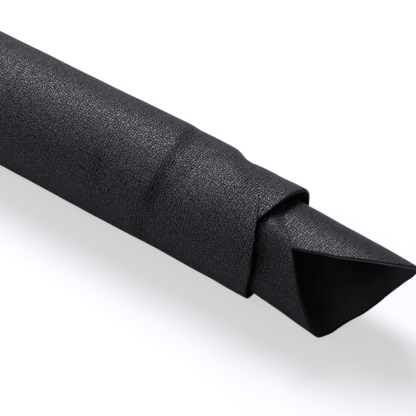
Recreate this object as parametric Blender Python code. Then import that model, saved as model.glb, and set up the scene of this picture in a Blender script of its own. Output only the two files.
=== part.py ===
"""A leather hide, rolled up: one nearly rectangular panel of it, wound almost four turns.

The roll lies along X on its own small flat, with its open end towards +X. The outer turns end
together at the rim. The innermost turn is drawn out past them as a slightly flared nose, whose
tip is the panel's inner corner. The grain side faces out and the flesh side faces the core.

Winding angles are in degrees, from the near side (-Y) over the top (+Z) to the far side (+Y),
and go on past 360 from the inner edge of the panel to its outer one. Reach is the distance
along the roll from the plane of the rim, positive towards the tip.
"""

from math import cos, exp, radians, sin

import bmesh
import bpy
import numpy as np

# Leather and winding, in metres.
THICKNESS = 0.0015
CORE_RADIUS = 0.02335  # outer face of the innermost turn where it passes the tip
TURN_GROWTH = 0.00255  # radius gained in a turn
SLACK = 0.00058  # how far each turn's centre lies up and back from the turn inside it
SLACK_ANGLE = 138.0
FULL_TURNS = 3.0  # turns from the tip to the outermost layer above it
RIM_X = 0.1228
AXIS_Y = -0.00055
AXIS_Z = 0.0308  # a little less than the outermost radius, which leaves the flat

# The panel is wound in equal steps, and one of them ends at the lowest point of each turn.
STEPS_PER_TURN = 27
STEPS_BEFORE_LOWEST = 20
WIND_STEPS = 102
STEP = 360.0 / STEPS_PER_TURN
LOWEST = 270.0
FLAT_LOOKED_FOR = 45.0  # degrees either side of the lowest point
FIRST_WIND = LOWEST - STEPS_BEFORE_LOWEST * STEP
LAST_WIND = FIRST_WIND + WIND_STEPS * STEP
TIP_WIND = 130.0
DRAWN_SHARE = 0.5  # of the steps, those whose line across the panel leans towards the tip

# The nose, where the innermost turn leaves the roll: it leans to the near side, droops and opens.
NOSE_LENGTH = 0.080
NOSE_SWING = 0.0052
NOSE_DROOP = 0.0025
NOSE_FLARE = 0.0025
NOSE_FADE = (450.0, 770.0)  # windings over which a turn stops following the nose

# The panel's edge at the open end: how far past the rim it reaches at each winding.
MOUTH_EDGE = (
    # wind_deg, reach_mm
    (TIP_WIND, 71.4),
    (168, 64.5),
    (208, 53.8),
    (238, 47.0),
    (262, 42.0),
    (295, 40.2),
    (335, 40.0),
    (363, 36.0),
    (385, 30.0),
    (408, 22.9),
    (417, 19.4),
    (435, 9.0),
    (450, 4.0),
    (480, -3.0),
    (540, -7.0),
    (740, -4.0),
    (778, -1.7),
    (794, 0.7),
    (845, 2.5),
    (877, -0.4),
    (950, -4.0),
    (1010, -4.0),
    (1040, 0.0),
    (1098, 5.8),
    (1128, 1.0),
    (1139, -1.4),
    (1180, -16.8),
    (1192, -24.3),
    (1215, -31.0),
    (1260, -35.0),
    (LAST_WIND, -38.0),
)
# The opposite edge, which is cut nearly square.
FAR_EDGE = (
    # wind_deg, reach_mm
    (FIRST_WIND, -262.0),
    (180, -272.0),
    (360, -290.0),
    (520, -301.0),
    (800, -305.0),
    (1100, -309.0),
    (LAST_WIND, -317.0),
)
# The panel's inner edge, from the far end to the tip.
INNER_EDGE = (
    # reach_mm, wind_deg
    (-262, FIRST_WIND),
    (-160, 8.0),
    (-80, 20.0),
    (-30, 34.0),
    (0, 46.0),
    (18, 57.0),
    (30, 67.5),
    (45.3, 82.0),
    (57.2, 97.0),
    (65.7, 112.0),
    (71.4, TIP_WIND),
)
# Rows across the panel. Those over the fold stand at one reach in every turn, and the rows on
# either side of them are shared out between the fold and the panel's two edges.
FAR_SHARES = (0.0, 0.13, 0.29, 0.46, 0.63, 0.78, 0.90)
FOLD_ROWS = (-84.0, -76.0, -71.0, -67.0, -63.0, -59.0, -55.0, -51.0, -46.0)  # reach_mm
MOUTH_SHARES = (0.14, 0.29, 0.44, 0.58, 0.71, 0.83, 0.93, 1.0)

# Soft troughs pressed through all the turns. bow is how far a trough's ends run back.
TROUGHS = (
    # reach_mm, half_width_mm, depth_mm, at_deg, half_span_deg, bow_mm
    (-57.0, 9.0, 0.8, 40.0, 125.0, 7.0),
)
# Where a free edge lies down on the turn beneath it.
EDGE_SINKS = (
    # at_deg, half_span_deg, sink_mm, run_in_mm
    (428.0, 45.0, 0.8, 8.0),
    (1195.0, 75.0, 1.1, 12.0),
)


def along(table, at, column=1):
    """A column of a table, read between its rows."""
    rows = np.array(table)
    return float(np.interp(at, rows[:, 0], rows[:, column]))


def bell(distance, half_width):
    """1 at the middle of a trough, falling smoothly to 0 at its sides."""
    share = min(1.0, abs(distance) / half_width)
    return (1.0 - share * share) ** 2


def angle_between(wind, at):
    """The winding's angle from a direction around the roll, between -180 and 180."""
    return (wind - at + 180.0) % 360.0 - 180.0


def trough_depth(wind, reach):
    """How far the folds press the leather in at this place, in metres."""
    depth = 0.0
    for trough_reach, half_width, deep, at, half_span, bow in TROUGHS:
        turned = angle_between(wind, at)
        middle = trough_reach - bow * (1.0 - cos(radians(turned)))
        depth += deep * bell(reach * 1000 - middle, half_width) * bell(turned, half_span)
    return depth / 1000


def edge_sink(wind, reach):
    """How far a free edge lies down on the turn beneath it, in metres."""
    inside = along(MOUTH_EDGE, wind) - reach * 1000
    sink = 0.0
    for at, half_span, deep, run_in in EDGE_SINKS:
        sink += deep * bell(wind - at, half_span) * exp(-max(0.0, inside) / run_in)
    return sink / 1000


def spiral(wind):
    """The radius of a turn's outer face, and the Y and Z of its centre."""
    turns = (wind - SLACK_ANGLE) / 360.0
    off_centre = SLACK * (turns - FULL_TURNS)
    centre_y = AXIS_Y - off_centre * cos(radians(SLACK_ANGLE))
    centre_z = AXIS_Z + off_centre * sin(radians(SLACK_ANGLE))
    return CORE_RADIUS + TURN_GROWTH * turns, centre_y, centre_z


def flat_lift(wind):
    """How far the turns are pressed in above the flat that the roll lies on."""
    if abs(angle_between(wind, LOWEST)) > FLAT_LOOKED_FOR:
        return 0.0
    outermost = LAST_WIND - (LAST_WIND - wind) % 360.0
    radius, _, centre_z = spiral(outermost)
    return max(0.0, radius + centre_z / sin(radians(wind)))


def leather_point(wind, reach):
    """The place in the roll of a point on the panel's grain side."""
    radius, centre_y, centre_z = spiral(wind)
    radius -= trough_depth(wind, reach) + edge_sink(wind, reach) + flat_lift(wind)
    fade_start, fade_end = NOSE_FADE
    follows = min(1.0, max(0.0, (fade_end - wind) / (fade_end - fade_start)))
    out = follows * max(0.0, reach / NOSE_LENGTH)
    radius += NOSE_FLARE * out
    centre_y -= NOSE_SWING * out
    centre_z -= NOSE_DROOP * out
    angle = radians(wind)
    return (RIM_X + reach, centre_y - radius * cos(angle), centre_z + radius * sin(angle))


def row_reaches(far_reach, mouth_reach):
    """The reach of each row, in mm, on a line across the panel from one edge to the other."""
    far_rows = [far_reach + (FOLD_ROWS[0] - far_reach) * share for share in FAR_SHARES]
    mouth_rows = [FOLD_ROWS[-1] + (mouth_reach - FOLD_ROWS[-1]) * share for share in MOUTH_SHARES]
    return far_rows + list(FOLD_ROWS) + mouth_rows


def panel_point(step, row):
    """The winding and reach of a point of the panel, by its step around and its row across.

    The inner edge slants towards the tip, so the steps next to it are drawn after it.
    """
    around = step / WIND_STEPS
    drawn = max(0.0, 1.0 - around / DRAWN_SHARE) ** 2
    edge_reach = row_reaches(along(FAR_EDGE, FIRST_WIND), along(MOUTH_EDGE, TIP_WIND))[row]
    edge_wind = along(INNER_EDGE, edge_reach)
    wind = FIRST_WIND + STEP * step + (edge_wind - FIRST_WIND) * drawn
    reach = row_reaches(along(FAR_EDGE, wind), along(MOUTH_EDGE, wind))[row]
    return wind, reach / 1000


def black_leather():
    material = bpy.data.materials.new("black_leather")
    material.use_nodes = True
    finish = material.node_tree.nodes["Principled BSDF"]
    finish.inputs["Base Color"].default_value = (0.017, 0.017, 0.019, 1.0)
    finish.inputs["Roughness"].default_value = 0.5
    finish.inputs["Metallic"].default_value = 0.0
    return material


def build_hide():
    """The panel as a flat grid, wound into its roll and given its thickness inwards."""
    panel = bmesh.new()
    rows = len(FAR_SHARES) + len(FOLD_ROWS) + len(MOUTH_SHARES) - 1
    bmesh.ops.create_grid(panel, x_segments=rows, y_segments=WIND_STEPS, size=0.5)
    for vert in panel.verts:
        row = round((vert.co.x + 0.5) * rows)
        step = round((vert.co.y + 0.5) * WIND_STEPS)
        vert.co = leather_point(*panel_point(step, row))
    mesh = bpy.data.meshes.new("hide")
    panel.to_mesh(mesh)
    panel.free()
    mesh.materials.append(black_leather())
    mesh.shade_smooth()
    mesh.set_sharp_from_angle(angle=radians(50))

    hide = bpy.data.objects.new("hide", mesh)
    bpy.context.scene.collection.objects.link(hide)
    leather = hide.modifiers.new("leather", "SOLIDIFY")
    leather.thickness = THICKNESS
    leather.offset = -1.0
    leather.use_even_offset = True
    return hide


for old in list(bpy.data.objects):
    bpy.data.objects.remove(old)
build_hide()
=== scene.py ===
"""A rolled panel of leather hide: black pebble grain outside, napped flesh inside, near-black cut edges."""

from math import cos, radians, sin

import bmesh
import bpy
import numpy as np
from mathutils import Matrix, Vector, noise


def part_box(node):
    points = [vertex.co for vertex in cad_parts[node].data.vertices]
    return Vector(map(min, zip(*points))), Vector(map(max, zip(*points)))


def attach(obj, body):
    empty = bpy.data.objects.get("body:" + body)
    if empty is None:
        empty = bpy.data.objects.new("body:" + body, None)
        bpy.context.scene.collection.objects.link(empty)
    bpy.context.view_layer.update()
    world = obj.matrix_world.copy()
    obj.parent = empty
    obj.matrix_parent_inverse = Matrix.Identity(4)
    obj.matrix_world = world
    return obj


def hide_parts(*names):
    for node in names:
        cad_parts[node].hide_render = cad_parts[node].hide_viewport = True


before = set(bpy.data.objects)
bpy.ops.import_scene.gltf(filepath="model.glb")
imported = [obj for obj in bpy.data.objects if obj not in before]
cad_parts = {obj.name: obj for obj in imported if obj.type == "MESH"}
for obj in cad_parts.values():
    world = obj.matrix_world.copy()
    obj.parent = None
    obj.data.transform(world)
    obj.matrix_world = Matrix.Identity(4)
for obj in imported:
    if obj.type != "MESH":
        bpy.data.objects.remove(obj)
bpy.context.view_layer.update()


# The studio. A pale seamless paper under the roll, one broad soft light over its back, two weak ones
# over its front, and a camera with a long lens that looks down on the open end.
CAMERA_AROUND = 38.0
CAMERA_UP = 41.3
CAMERA_DISTANCE = 0.826
CAMERA_LENS = 152.0
roll_high = Vector(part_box("hide")[1])
CAMERA_AIM = Vector((roll_high.x - 0.1035, -0.0125, 0.0425))


def towards(around, up):
    """The direction that lies this many degrees around from the front and up from the floor."""
    around, up = radians(around), radians(up)
    return Vector((sin(around) * cos(up), -cos(around) * cos(up), sin(up)))


def face_roll(thing, around, up, distance):
    """Places a light or the camera this far from the roll, facing it, and adds it to the scene."""
    thing.location = CAMERA_AIM + towards(around, up) * distance
    thing.rotation_euler = towards(around, up).to_track_quat("Z", "Y").to_euler()
    bpy.context.scene.collection.objects.link(thing)


camera = bpy.data.objects.new("camera", bpy.data.cameras.new("camera"))
camera.data.lens = CAMERA_LENS
camera.data.clip_end = 20.0
face_roll(camera, CAMERA_AROUND, CAMERA_UP, CAMERA_DISTANCE)
bpy.context.scene.camera = camera
bpy.context.scene.view_settings.view_transform = "Standard"

SOFTBOXES = (
    # name, degrees around, degrees up, distance, width, height, power
    ("back_softbox", 236.0, 52.0, 2.6, 1.6, 1.3, 85.0),
    ("left_softbox", 296.0, 27.0, 1.6, 1.2, 0.6, 4.6),
    ("front_softbox", 0.0, 50.0, 1.7, 0.6, 0.5, 1.9),
)
SOFTBOX_COLOUR = (0.86, 0.87, 1.0)
for name, around, up, distance, width, height, power in SOFTBOXES:
    light = bpy.data.lights.new(name, "AREA")
    light.shape = "RECTANGLE"
    light.size = width
    light.size_y = height
    light.energy = power
    light.color = SOFTBOX_COLOUR
    face_roll(bpy.data.objects.new(name, light), around, up, distance)

ROOM_COLOUR = (0.93, 0.95, 1.0, 1.0)
ROOM_LIGHT = 0.11
world = bpy.data.worlds.new("studio")
world.use_nodes = True
world.node_tree.nodes["Background"].inputs["Color"].default_value = ROOM_COLOUR
world.node_tree.nodes["Background"].inputs["Strength"].default_value = ROOM_LIGHT
bpy.context.scene.world = world


def shader_node(tree, kind, settings=None, inputs=None):
    """A new node. An input that is given a socket is linked to it, and any other holds the value."""
    node = tree.nodes.new(kind)
    for name, value in (settings or {}).items():
        setattr(node, name, value)
    for name, value in (inputs or {}).items():
        if isinstance(value, bpy.types.NodeSocket):
            tree.links.new(value, node.inputs[name])
        else:
            node.inputs[name].default_value = value
    return node


def calculate(tree, operation, *values):
    """The result of a new Math node."""
    return shader_node(tree, "ShaderNodeMath", {"operation": operation}, dict(enumerate(values))).outputs[0]


# The paper glows a little, as if lit from below, so that it looks white without lighting the roll.
PAPER_REACH = 4.0
PAPER_GREY = (0.45, 0.45, 0.45, 1.0)
PAPER_GLOW = 0.58
paper_mesh = bmesh.new()
bmesh.ops.create_grid(paper_mesh, x_segments=1, y_segments=1, size=PAPER_REACH)
paper_data = bpy.data.meshes.new("paper")
paper_mesh.to_mesh(paper_data)
paper_mesh.free()
paper = bpy.data.objects.new("paper", paper_data)
bpy.context.scene.collection.objects.link(paper)
white_paper = bpy.data.materials.new("white_paper")
white_paper.use_nodes = True
paper_finish = white_paper.node_tree.nodes["Principled BSDF"]
paper_finish.inputs["Base Color"].default_value = PAPER_GREY
paper_finish.inputs["Roughness"].default_value = 0.9
paper_finish.inputs["Specular IOR Level"].default_value = 0.0
paper_finish.inputs["Emission Color"].default_value = (1.0, 1.0, 1.0, 1.0)
seen = shader_node(white_paper.node_tree, "ShaderNodeLightPath").outputs["Is Camera Ray"]
paper_glow = calculate(white_paper.node_tree, "MULTIPLY", seen, PAPER_GLOW)
white_paper.node_tree.links.new(paper_glow, paper_finish.inputs["Emission Strength"])
paper_data.materials.append(white_paper)


# The hide. One panel of black pebble-grained leather, cut with a knife and rolled up by hand with
# its grain side out. Its first turn is drawn out of the open end, so that its corner makes a nose.
# Nothing ties it: the turns hold each other, and the roll lies on a narrow flat.

# Winding angles are in degrees from the near side over the top, and run on past each turn.
# Reach is the distance along the roll from its rim, in mm, positive towards the tip.
METRE = 1000  # mm, as are the sizes below
THICKNESS = 1.5
CORE_RADIUS = 23.35
TURN_GROWTH = 2.55
SLACK = 0.58  # how far each turn's centre lies up and back from the turn inside it
SLACK_ANGLE = 138.0
FULL_TURNS = 3.0  # turns from the tip to the outermost layer above it
ROLL_RADIUS = 30.0
AXIS_Y = -0.55
AXIS_Z = 30.8
TIP_REACH = 71.4
TIP_WIND = 130.0
RIM_X = roll_high.x * METRE - TIP_REACH
LOWEST = 270.0
FLAT_LOOKED_FOR = 45.0  # degrees either side of the lowest point
# The solid is wound in equal steps, and one of them ends at the lowest point of each turn.
STEPS_PER_TURN = 27
STEPS_BEFORE_LOWEST = 20
WIND_STEPS = 102
FIRST_WIND = LOWEST - STEPS_BEFORE_LOWEST * 360.0 / STEPS_PER_TURN
LAST_WIND = FIRST_WIND + WIND_STEPS * 360.0 / STEPS_PER_TURN
DRAWN_SHARE = 0.5  # of the panel's length, the part whose lines across it lean towards the tip
# The nose swings towards the near side, droops and flares as it leaves the roll.
NOSE_LENGTH = 80.0
NOSE_SWING = 5.2
NOSE_DROOP = 2.5
NOSE_FLARE = 2.5
NOSE_FADE = (450.0, 770.0)
# Where it comes out of the roll it springs open a little, towards the near side and the floor.
NOSE_SPRING = 0.35
NOSE_SPRING_REACH = (-8.0, 8.0)
NOSE_SPRING_TOWARDS = radians(-42.0)
# The flat that the roll rests on fades out of the nose over this reach.
NOSE_ROUND_REACH = (-30.0, 10.0)
# Away from the rim, the outer turns are a little fuller than the solid's.
FULLNESS = 0.35
FULLNESS_FADE = (-62.0, -30.0)

MOUTH_EDGE = (
    # wind_deg, reach_mm
    (TIP_WIND, TIP_REACH),
    (168, 64.5),
    (208, 53.8),
    (238, 47.0),
    (262, 42.0),
    (295, 40.2),
    (335, 40.8),
    (363, 37.0),
    (385, 30.2),
    (408, 22.4),
    (417, 18.8),
    (433, 10.5),
    (450, 4.5),
    (468, 0.0),
    (495, -5.0),
    (560, -9.0),
    (740, -4.0),
    (778, -0.9),
    (794, 1.5),
    (845, 2.6),
    (877, -0.3),
    (950, -4.0),
    (1010, -4.0),
    (1040, 0.0),
    (1098, 5.8),
    (1128, 1.0),
    (1139, -1.4),
    (1180, -16.8),
    (1192, -24.3),
    (1215, -31.0),
    (1260, -35.0),
    (LAST_WIND, -38.0),
)
FAR_EDGE = (
    # wind_deg, reach_mm
    (FIRST_WIND, -262.0),
    (180, -272.0),
    (360, -290.0),
    (520, -301.0),
    (800, -305.0),
    (1100, -309.0),
    (LAST_WIND, -317.0),
)
INNER_EDGE = (
    # reach_mm, wind_deg
    (-262, FIRST_WIND),
    (-160, 8.0),
    (-80, 20.0),
    (-30, 33.0),
    (0, 44.5),
    (18, 55.0),
    (30, 65.3),
    (45.3, 80.2),
    (57.2, 96.0),
    (65.7, 111.3),
    (TIP_REACH, TIP_WIND),
)
# A hollow has a depth above 0 and a ridge has one below 0. Each runs around the roll, bends away
# from the tip by its bow towards its ends, and leans towards the tip from its middle up. Its side
# towards the tip is this many times gentler than the other.
FOLDS = (
    # reach_mm, half_width_mm, depth_mm, at_deg, half_span_deg, bow_mm, lean_mm, gentler
    (-52.5, 6.5, 2.0, 57.0, 114.0, 11.0, -1.5, 6.2),
    (-54.0, 6.0, 0.5, 104.0, 34.0, 0.0, -5.0, 1.8),
    (-52.5, 7.0, 0.9, 26.0, 32.0, 0.0, 0.0, 2.4),
    (-42.0, 8.0, 1.2, 80.0, 46.0, 0.0, 5.0, 3.0),
    (-47.0, 3.0, 0.45, 98.0, 44.0, 28.0, 0.0, 1.5),
    (-59.0, 4.5, 1.5, -6.0, 30.0, 0.0, 0.0, 1.8),
    (-87.5, 5.0, 1.5, 31.0, 19.0, 0.0, -5.5, 1.8),
    (-41.0, 6.0, 0.55, 4.0, 16.0, 0.0, 26.0, 1.0),
    (-24.0, 13.0, -0.45, 138.0, 40.0, 0.0, 0.0, 1.0),
)
# Folds in one turn alone, at a winding angle.
TURN_FOLDS = (
    # reach_mm, half_width_mm, depth_mm, at_wind_deg, half_span_deg
    (16.0, 27.0, 1.7, 393.0, 34.0),
    (9.0, 16.0, 1.0, 46.0, 30.0),
    (30.0, 22.0, -1.6, 52.0, 28.0),
    (0.0, 30.0, -0.7, 1040.0, 45.0),
    (-36.0, 22.0, -0.4, 1040.0, 40.0),
)
# Where a turn's edge lies flat on the turn under it, the leather is pressed down and thins out.
PRESSED_EDGES = (
    # wind_deg, share_pressed, run_in_mm
    (404, 0.0, 9.0),
    (420, 0.4, 9.0),
    (436, 1.0, 8.0),
    (475, 1.0, 8.0),
    (510, 0.0, 9.0),
    (1100, 0.0, 26.0),
    (1142, 0.8, 26.0),
    (1180, 0.85, 20.0),
    (1195, 1.0, 11.0),
    (1250, 1.0, 9.0),
    (1300, 0.0, 9.0),
)
PRESSED_GAP = 0.05
THINNED_BY = 1.3
THINNING_RUN = 13.0
# The hand-cut edges wander a little, each turn's in its own way, and the leather isn't quite flat.
EDGE_WANDER = 0.3
EDGE_WANDER_DEG = 0.9
EDGE_WANDER_LENGTH = 9.0
EDGE_WANDER_SHIFT = 9.0
UNEVENNESS = (
    # height_mm, length_mm
    (0.32, 30.0),
    (0.13, 11.0),
)

# The cut edges are a little rounded, more on the grain side. Those of the open end and the far end
# are coloured near black, this far in, and the two ends of the winding show the leather's grey core.
ROUNDING = 0.6
ROUNDED_GRAIN = 0.6
ROUNDED_FLESH = 0.15
BLACK_IN = 0.4
GRAIN_SIDE, FLESH_SIDE, BLACK_EDGE, CUT_CORE = range(4)  # the finishes, in the order they are made

# The mesh has rows across the panel and steps around the roll, closer together where more shows.
ROWS = (
    # row, share from the far edge to the body, share of the body, share to the mouth, inside_mm
    (0, 0.0, 0.0, 0.0, 0.0),
    (1, 0.0, 0.0, 0.0, 0.1),
    (2, 0.0, 0.0, 0.0, 0.3),
    (3, 0.0, 0.0, 0.0, 0.7),
    (25, 1.0, 0.0, 0.0, 0.0),
    (75, 1.0, 1.0, 0.0, 0.0),
    (120, 1.0, 1.0, 1.0, -0.7),
    (121, 1.0, 1.0, 1.0, -0.3),
    (122, 1.0, 1.0, 1.0, -0.1),
    (123, 1.0, 1.0, 1.0, 0.0),
)
BODY_REACH = (-120.0, -46.0)
STEPS = (
    # step, wind_deg
    (0, FIRST_WIND),
    (1, FIRST_WIND + 0.3),
    (2, FIRST_WIND + 0.9),
    (3, FIRST_WIND + 2.0),
    (156, 470.0),
    (220, 1010.0),
    (354, LAST_WIND - 1.1),
    (355, LAST_WIND - 0.55),
    (356, LAST_WIND - 0.2),
    (357, LAST_WIND),
)


def along(table, at):
    """A two-column table, read on a smooth curve through its rows."""
    x, y = np.array(table, float).T
    slopes = np.gradient(y, x)
    at = np.clip(at, x[0], x[-1])
    row = np.clip(np.searchsorted(x, at, side="right") - 1, 0, len(x) - 2)
    width = x[row + 1] - x[row]
    share = (at - x[row]) / width
    value = (1 + 2 * share) * (1 - share) ** 2 * y[row] + share**2 * (3 - 2 * share) * y[row + 1]
    return value + share * (1 - share) * width * ((1 - share) * slopes[row] - share * slopes[row + 1])


def bell(distance, half_width, gentler=1.0):
    """1 at the middle of a fold, falling smoothly to 0 at its sides."""
    width = np.where(distance > 0.0, gentler * half_width, half_width)
    share = np.minimum(1.0, np.abs(distance) / width)
    return (1.0 - share**2) ** 2


def rise(value, start, end):
    """0 before start, 1 after end, and smooth between them."""
    share = np.clip((value - start) / (end - start), 0.0, 1.0)
    return share**2 * (3.0 - 2.0 * share)


def angle_between(wind, at):
    """How far around the roll one place lies from another, from -180 to 180."""
    return (wind - at + 180.0) % 360.0 - 180.0


def wander(wind, reach, length):
    """Smooth noise from -1 to 1 over the roll's surface, the same in every turn."""
    angles = np.radians(wind)
    places = np.stack([reach, ROLL_RADIUS * np.cos(angles), ROLL_RADIUS * np.sin(angles)], -1) / length
    return np.array([noise.noise(Vector(place)) for place in places])


def mouth_reach(wind):
    """The reach of the panel's edge at the open end."""
    return along(MOUTH_EDGE, wind) + EDGE_WANDER * wander(wind, wind / EDGE_WANDER_SHIFT, EDGE_WANDER_LENGTH)


def inner_wind(reach):
    """The winding angle at which the panel starts, on its inner end."""
    return along(INNER_EDGE, reach) + EDGE_WANDER_DEG * wander(reach, reach, EDGE_WANDER_LENGTH)


def spiral(wind):
    """The radius of a turn's grain side, and the Y and Z of its centre."""
    turns = (wind - SLACK_ANGLE) / 360.0
    slack = SLACK * (turns - FULL_TURNS)
    centre_y = AXIS_Y - slack * cos(radians(SLACK_ANGLE))
    centre_z = AXIS_Z + slack * sin(radians(SLACK_ANGLE))
    return CORE_RADIUS + TURN_GROWTH * turns, centre_y, centre_z


def fold_depth(wind, reach):
    """How far the folds and the unevenness press the leather in."""
    depth = 0.0 * wind
    for fold_reach, half_width, deep, at, half_span, bow, lean, gentler in FOLDS:
        turned = angle_between(wind, at)
        middle = fold_reach - bow * (1.0 - np.cos(np.radians(turned))) + lean * turned / half_span
        depth += deep * bell(reach - middle, half_width, gentler) * bell(turned, half_span)
    for fold_reach, half_width, deep, at, half_span in TURN_FOLDS:
        depth += deep * bell(reach - fold_reach, half_width) * bell(wind - at, half_span)
    for height, length in UNEVENNESS:
        depth += height * wander(wind, reach, length)
    return depth


def pressed(wind, inside):
    """How far the leather is pressed down, and thinned, this far inside its mouth edge."""
    winds, shares, run_ins = np.array(PRESSED_EDGES).T
    share = np.interp(wind, winds, shares)
    gap = TURN_GROWTH + SLACK * np.cos(np.radians(wind - SLACK_ANGLE)) - THICKNESS - PRESSED_GAP
    down = share * gap * (1.0 - rise(inside, 0.0, np.interp(wind, winds, run_ins)))
    return down, share * THINNED_BY * (1.0 - rise(inside, 0.0, THINNING_RUN))


def flat_lift(wind):
    """How far the lowest part of each turn is lifted, so that the roll rests on a narrow flat."""
    radius, _, centre_z = spiral(LAST_WIND - (LAST_WIND - wind) % 360.0)
    lowest = np.abs(angle_between(wind, LOWEST)) < FLAT_LOOKED_FOR
    down = np.where(lowest, np.sin(np.radians(wind)), -1.0)
    return np.where(lowest, np.maximum(0.0, radius + centre_z / down), 0.0)


def leather_places(wind, reach, sunk):
    """Where points this far under the panel's grain side lie in the roll, in metres."""
    radius, centre_y, centre_z = spiral(wind)
    fade_start, fade_end = NOSE_FADE
    follows = np.clip((fade_end - wind) / (fade_end - fade_start), 0.0, 1.0)
    out = follows * np.maximum(0.0, reach / NOSE_LENGTH)
    sprung = follows * NOSE_SPRING * rise(reach, *NOSE_SPRING_REACH)
    radius = radius - fold_depth(wind, reach) - sunk + NOSE_FLARE * out + sprung
    radius = radius + FULLNESS * (1.0 - follows) * (1.0 - rise(reach, *FULLNESS_FADE))
    radius = radius - flat_lift(wind) * (1.0 - follows * rise(reach, *NOSE_ROUND_REACH))
    centre_y = centre_y - NOSE_SWING * out - sprung * cos(NOSE_SPRING_TOWARDS)
    centre_z = centre_z - NOSE_DROOP * out + sprung * sin(NOSE_SPRING_TOWARDS)
    y = centre_y - radius * np.cos(np.radians(wind))
    z = centre_z + radius * np.sin(np.radians(wind))
    return np.stack([RIM_X + reach, y, np.maximum(0.0, z)], -1) / METRE


def row_reaches(row, far_reach, rim_reach):
    """The reach of each row on a line across the panel, from its far edge to its mouth edge."""
    table = np.array(ROWS)
    to_body, body, to_mouth, inside = (np.interp(row, table[:, 0], column) for column in table.T[1:])
    body_start, body_end = BODY_REACH
    reach = far_reach + (body_start - far_reach) * to_body + (body_end - body_start) * body
    return reach + (rim_reach - body_end) * to_mouth + inside


def rounded(inside, depth):
    """How far a side of the leather curves in, this far inside a cut edge."""
    share = 1.0 - np.clip(inside / ROUNDING, 0.0, 1.0)
    return depth * (1.0 - np.sqrt(1.0 - share**2))


# The panel starts as a flat slab of squares. Each of its points is then placed in the roll.
rows = ROWS[-1][0]
steps = STEPS[-1][0]
panel = bmesh.new()
plan = panel.loops.layers.uv.new("flat_plan")
bmesh.ops.create_grid(panel, x_segments=rows, y_segments=steps, size=0.5)
flesh = bmesh.ops.extrude_face_region(panel, geom=panel.faces[:], use_keep_orig=True)["geom"]
flesh_points = [part for part in flesh if isinstance(part, bmesh.types.BMVert)]
bmesh.ops.translate(panel, verts=flesh_points, vec=(0, 0, -1))
bmesh.ops.recalc_face_normals(panel, faces=panel.faces)
slab = np.array([vert.co for vert in panel.verts])
on_flesh = slab[:, 2] < -0.5
row, step = np.round((slab[:, :2] + 0.5) * (rows, steps)).T
plain_wind = np.interp(step, *np.array(STEPS).T)
wound = (plain_wind - FIRST_WIND) / (LAST_WIND - FIRST_WIND)
drawn_out = np.maximum(0.0, 1.0 - wound / DRAWN_SHARE) ** 2
edge_reach = row_reaches(row, FAR_EDGE[0][1], TIP_REACH)
wind = plain_wind + (inner_wind(edge_reach) - FIRST_WIND) * drawn_out
reach = row_reaches(row, along(FAR_EDGE, wind), mouth_reach(wind))

# How far each point lies inside the nearest cut edge, in mm.
inside = np.minimum(mouth_reach(wind) - reach, reach - along(FAR_EDGE, wind))
inside = np.minimum(inside, np.radians(plain_wind - FIRST_WIND) * CORE_RADIUS)
last_radius = CORE_RADIUS + FULL_TURNS * TURN_GROWTH
inside = np.minimum(inside, np.radians(LAST_WIND - plain_wind) * last_radius)
down, thinned = pressed(wind, mouth_reach(wind) - reach)
thickness_kept = 1.0 - thinned / THICKNESS
sunk = down + thinned + thickness_kept * rounded(inside, ROUNDED_GRAIN)
thick = thickness_kept * (THICKNESS - rounded(inside, ROUNDED_GRAIN) - rounded(inside, ROUNDED_FLESH))
places = leather_places(wind, reach, sunk + np.where(on_flesh, thick, 0.0))

# The flat plan gives each point its place on the panel before it was rolled up, in metres. While
# the slab is flat, the ends of the winding face along Y and the flesh side faces down. Where an
# edge is thinned, it isn't coloured black.
mean_radius = CORE_RADIUS + TURN_GROWTH * (wind / 2 - SLACK_ANGLE) / 360.0
flat_length = np.radians(wind) * mean_radius / METRE
for face in panel.faces:
    if abs(face.normal.y) > 0.5:
        face.material_index = CUT_CORE
    elif min(inside[vert.index] + thinned[vert.index] for vert in face.verts) < BLACK_IN:
        face.material_index = BLACK_EDGE
    elif face.normal.z < 0.0:
        face.material_index = FLESH_SIDE
    else:
        face.material_index = GRAIN_SIDE
    face.smooth = face.material_index != CUT_CORE
    for loop in face.loops:
        loop[plan].uv = (flat_length[loop.vert.index], reach[loop.vert.index] / METRE)
for vert in panel.verts:
    vert.co = places[vert.index]

hide_data = bpy.data.meshes.new("rolled_hide")
panel.to_mesh(hide_data)
panel.free()
hide = bpy.data.objects.new("rolled_hide", hide_data)
bpy.context.scene.collection.objects.link(hide)

# The grain side: domed pebbles, longer around the roll than across it but rounder on the nose,
# with painted shade in the creases between them, longer creases over them, and glossiest on the pebbles.
# Lengths are in metres, sides in shares of a cell, and heights in shares of the grain's depth.
PEBBLE_AROUND = 0.0015
PEBBLE_ACROSS = 0.00125
ROUND_PEBBLE_AROUND = 0.0012
ROUND_PEBBLE_UP_TO = 0.20  # around the roll, on the flat plan
PEBBLE_RANDOMNESS = 0.42
PEBBLE_DRIFTS_PER_METRE = (260.0, 520.0, 1.0)
PEBBLE_DRIFT = (0.0034, 0.0016, 0.0)
PEBBLE_END_SHALLOWER = 0.25
PEBBLE_SIDE = 0.40
PEBBLE_HEIGHT = 0.7
PEBBLE_OWN_HEIGHT = 0.05
LONG_CREASE_AROUND = 0.0080
LONG_CREASE_ACROSS = 0.0026
LONG_CREASE_SIDE = 0.12
LONG_CREASE_DEPTH = 0.10
GRAIN_DEPTH = 0.00030
NOSE_UP_TO = (0.18, 0.24)  # around the roll, on the flat plan
NOSE_HEIGHT = 0.6
NOSE_PAINTED_SHADE = 0.3
PAINTED_SHADE_SIDE = 0.46
PAINTED_SHADE_GLOSS_LOST = 0.75
PEBBLE_COLOUR = (0.088, 0.0905, 0.094, 1.0)
CREASE_PAINTED_SHADE = (0.002, 0.002, 0.002, 1.0)
BLACK = (0.0, 0.0, 0.0, 1.0)
CREASE_ROUGHNESS = 0.6
PEBBLE_ROUGHNESS = 0.40
GRAIN_SHINE = 0.38


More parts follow.
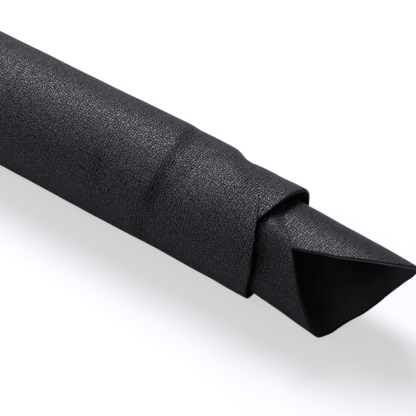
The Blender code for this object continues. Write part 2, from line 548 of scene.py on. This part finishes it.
def leather_material(name):
    """A new material on the hide: its node tree and its shader."""
    material = bpy.data.materials.new(name)
    material.use_nodes = True
    hide_data.materials.append(material)
    return material.node_tree, material.node_tree.nodes["Principled BSDF"]


def fit(tree, value, low, high, to_low, to_high, kind="SMOOTHSTEP"):
    """Maps a value from one range to another."""
    inputs = {"Value": value, "From Min": low, "From Max": high, "To Min": to_low, "To Max": to_high}
    return shader_node(tree, "ShaderNodeMapRange", {"interpolation_type": kind}, inputs).outputs["Result"]


def blend_colours(tree, share, first, second):
    """The first colour where the share is 0, and the second where it is 1."""
    inputs = {0: share, 6: first, 7: second}
    return shader_node(tree, "ShaderNodeMix", {"data_type": "RGBA"}, inputs).outputs[2]


def move(tree, operation, place, other):
    """A place, moved or scaled by another vector."""
    settings = {"operation": operation}
    return shader_node(tree, "ShaderNodeVectorMath", settings, {0: place, 1: other}).outputs[0]


def clouds(tree, place, scale, detail):
    """A cloudy pattern, with this many clouds to a unit."""
    inputs = {"Vector": place, "Scale": scale, "Detail": detail}
    return shader_node(tree, "ShaderNodeTexNoise", {}, inputs).outputs


def cells(tree, place, feature):
    """A pattern of cells, each about one unit across."""
    settings = {"feature": feature, "voronoi_dimensions": "2D"}
    inputs = {"Vector": place, "Scale": 1.0, "Randomness": PEBBLE_RANDOMNESS}
    return shader_node(tree, "ShaderNodeTexVoronoi", settings, inputs)


tree, finish = leather_material("grain_side")
on_plan = shader_node(tree, "ShaderNodeUVMap", {"uv_map": "flat_plan"}).outputs["UV"]
drift = move(tree, "MULTIPLY", on_plan, PEBBLE_DRIFTS_PER_METRE)
drift = move(tree, "SUBTRACT", clouds(tree, drift, 1.0, 1.0)["Color"], (0.5, 0.5, 0.5))
drifted = move(tree, "ADD", on_plan, move(tree, "MULTIPLY", drift, PEBBLE_DRIFT))
on_leather = shader_node(tree, "ShaderNodeSeparateXYZ", {}, {0: drifted})
around, across = on_leather.outputs["X"], on_leather.outputs["Y"]
around_nose = calculate(tree, "MINIMUM", around, ROUND_PEBBLE_UP_TO)
pebbles_around = calculate(
    tree,
    "MULTIPLY_ADD",
    around_nose,
    1 / ROUND_PEBBLE_AROUND - 1 / PEBBLE_AROUND,
    calculate(tree, "DIVIDE", around, PEBBLE_AROUND),
)
pebbles_across = calculate(tree, "DIVIDE", across, PEBBLE_ACROSS)
on_pebbles = shader_node(tree, "ShaderNodeCombineXYZ", {}, {0: pebbles_around, 1: pebbles_across}).outputs[0]
on_creases = move(tree, "MULTIPLY", drifted, (1 / LONG_CREASE_AROUND, 1 / LONG_CREASE_ACROSS, 1.0))
pebble = cells(tree, on_pebbles, "F1")
pebble_side = cells(tree, on_pebbles, "DISTANCE_TO_EDGE").outputs["Distance"]
long_crease = cells(tree, on_creases, "DISTANCE_TO_EDGE").outputs["Distance"]
# The creases at a pebble's ends are shallower than those along its sides.
centre = shader_node(tree, "ShaderNodeSeparateXYZ", {}, {0: pebble.outputs["Position"]}).outputs[0]
to_end = calculate(tree, "SUBTRACT", pebbles_around, centre)
to_end = calculate(tree, "MULTIPLY", to_end, to_end)
pebble_side = calculate(tree, "MULTIPLY_ADD", to_end, PEBBLE_END_SHALLOWER, pebble_side)
# The pebbles are domed: steep at their sides and level on top.
side = fit(tree, pebble_side, 0.0, PEBBLE_SIDE, 0.0, 1.0, "LINEAR")
top = calculate(tree, "MULTIPLY", side, calculate(tree, "SUBTRACT", 2.0, side))
own_height = shader_node(tree, "ShaderNodeSeparateColor", {}, {"Color": pebble.outputs["Color"]}).outputs[0]
crease = fit(tree, long_crease, 0.0, LONG_CREASE_SIDE, LONG_CREASE_DEPTH, 0.0)
height = calculate(tree, "MULTIPLY", own_height, PEBBLE_OWN_HEIGHT)
height = calculate(tree, "MULTIPLY_ADD", top, PEBBLE_HEIGHT, height)
height = calculate(tree, "SUBTRACT", height, crease)
# The grain is softer on the nose, and a little darker there with painted shade.
height = calculate(tree, "MULTIPLY", height, fit(tree, around, *NOSE_UP_TO, NOSE_HEIGHT, 1.0))
bump = shader_node(tree, "ShaderNodeBump", {}, {"Distance": GRAIN_DEPTH, "Height": height})
# The creases between the pebbles are painted shade: near black, and a black metal there takes the gloss
# away.
deep = fit(tree, pebble_side, 0.0, PAINTED_SHADE_SIDE, 1.0, 0.0)
colour = blend_colours(tree, deep, PEBBLE_COLOUR, CREASE_PAINTED_SHADE)
# Painted shade darkens the nose.
colour = blend_colours(tree, fit(tree, around, *NOSE_UP_TO, NOSE_PAINTED_SHADE, 0.0), colour, BLACK)
roughness = fit(tree, top, 0.0, 1.0, CREASE_ROUGHNESS, PEBBLE_ROUGHNESS, "LINEAR")
tree.links.new(colour, finish.inputs["Base Color"])
tree.links.new(calculate(tree, "MULTIPLY", deep, PAINTED_SHADE_GLOSS_LOST), finish.inputs["Metallic"])
tree.links.new(roughness, finish.inputs["Roughness"])
tree.links.new(bump.outputs["Normal"], finish.inputs["Normal"])
finish.inputs["Specular IOR Level"].default_value = GRAIN_SHINE

# The nap is the raised fibre of the flesh and of a bare cut: fine, matt and a little mottled.
NAP_LENGTH = 0.0007
NAP_SHARE = 0.4
MOTTLE_LENGTH = 0.007
MOTTLE_SHARE = 0.6
DARK_UP_TO = 0.35
PALE_FROM = 0.65
NAP_SHINE = 0.2

nap = bpy.data.node_groups.new("nap", "ShaderNodeTree")
nap.interface.new_socket("Dark", in_out="INPUT", socket_type="NodeSocketColor")
nap.interface.new_socket("Light", in_out="INPUT", socket_type="NodeSocketColor")
nap.interface.new_socket("Colour", in_out="OUTPUT", socket_type="NodeSocketColor")
nap.interface.new_socket("Height", in_out="OUTPUT", socket_type="NodeSocketFloat")
colours = shader_node(nap, "NodeGroupInput").outputs
place = shader_node(nap, "ShaderNodeTexCoord").outputs["Object"]
fibre = clouds(nap, place, 1 / NAP_LENGTH, 3.0)[0]
mottle = clouds(nap, place, 1 / MOTTLE_LENGTH, 2.0)[0]
paler = calculate(nap, "MULTIPLY_ADD", fibre, NAP_SHARE, calculate(nap, "MULTIPLY", mottle, MOTTLE_SHARE))
paler = fit(nap, paler, DARK_UP_TO, PALE_FROM, 0.0, 1.0)
paler = blend_colours(nap, paler, colours["Dark"], colours["Light"])
shader_node(nap, "NodeGroupOutput", {}, {"Colour": paler, "Height": fibre})


def raise_nap(tree, finish, colours, depth, roughness):
    """Finishes a material with the nap, in a dark and a light colour."""
    fibres = shader_node(tree, "ShaderNodeGroup", {"node_tree": nap}, colours).outputs
    bump = shader_node(tree, "ShaderNodeBump", {}, {"Distance": depth, "Height": fibres["Height"]})
    tree.links.new(fibres["Colour"], finish.inputs["Base Color"])
    tree.links.new(bump.outputs["Normal"], finish.inputs["Normal"])
    finish.inputs["Roughness"].default_value = roughness
    finish.inputs["Specular IOR Level"].default_value = NAP_SHINE


# The flesh side: a long grey nap, with painted shade high up inside the mouth and painted light
# low down, further in, and at the tip. Each change runs between two places on the flat plan, in metres.
LOW_DOWN = (0.070, 0.105)
FURTHER_IN = (0.036, 0.010)
AT_TIP = (0.040, 0.060)
FLESH_PAINTED_SHADE_HIGH_UP = (0.020, 0.022, 0.023, 1.0)
FLESH_PAINTED_LIGHT_LOW_DOWN = (0.080, 0.087, 0.087, 1.0)
FLESH_PAINTED_LIGHT_FURTHER_IN = (0.110, 0.116, 0.118, 1.0)
FLESH_PAINTED_LIGHT_AT_TIP = (0.070, 0.075, 0.078, 1.0)
FLESH_MOTTLE = 0.35
FLESH_NAP_DEPTH = 0.0003
FLESH_ROUGHNESS = 0.95

tree, finish = leather_material("flesh_side")
on_plan = shader_node(tree, "ShaderNodeUVMap", {"uv_map": "flat_plan"}).outputs["UV"]
on_leather = shader_node(tree, "ShaderNodeSeparateXYZ", {}, {0: on_plan})
around, across = on_leather.outputs["X"], on_leather.outputs["Y"]
flesh_painted_shading = blend_colours(tree, fit(tree, around, *LOW_DOWN, 0.0, 1.0), FLESH_PAINTED_SHADE_HIGH_UP, FLESH_PAINTED_LIGHT_LOW_DOWN)
flesh_painted_shading = blend_colours(tree, fit(tree, across, *FURTHER_IN, 0.0, 1.0), flesh_painted_shading, FLESH_PAINTED_LIGHT_FURTHER_IN)
flesh_painted_shading = blend_colours(tree, fit(tree, across, *AT_TIP, 0.0, 1.0), flesh_painted_shading, FLESH_PAINTED_LIGHT_AT_TIP)
dark = blend_colours(tree, FLESH_MOTTLE, flesh_painted_shading, BLACK)
raise_nap(tree, finish, {"Dark": dark, "Light": flesh_painted_shading}, FLESH_NAP_DEPTH, FLESH_ROUGHNESS)

# The edges of the open end and the far end are a matt near black.
EDGE_BLACK = (0.004, 0.004, 0.004, 1.0)
EDGE_BLACK_ROUGHNESS = 0.6
EDGE_BLACK_SHINE = 0.25

tree, finish = leather_material("black_edge")
finish.inputs["Base Color"].default_value = EDGE_BLACK
finish.inputs["Roughness"].default_value = EDGE_BLACK_ROUGHNESS
finish.inputs["Specular IOR Level"].default_value = EDGE_BLACK_SHINE

# The bare ends show the leather's grey core, with a shorter nap than the flesh side's.
CORE_COLOURS = {"Dark": (0.09, 0.092, 0.095, 1.0), "Light": (0.17, 0.175, 0.18, 1.0)}
CORE_NAP_DEPTH = 0.0002
CORE_ROUGHNESS = 0.9

tree, finish = leather_material("cut_core")
raise_nap(tree, finish, CORE_COLOURS, CORE_NAP_DEPTH, CORE_ROUGHNESS)

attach(hide, "root")
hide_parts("hide")
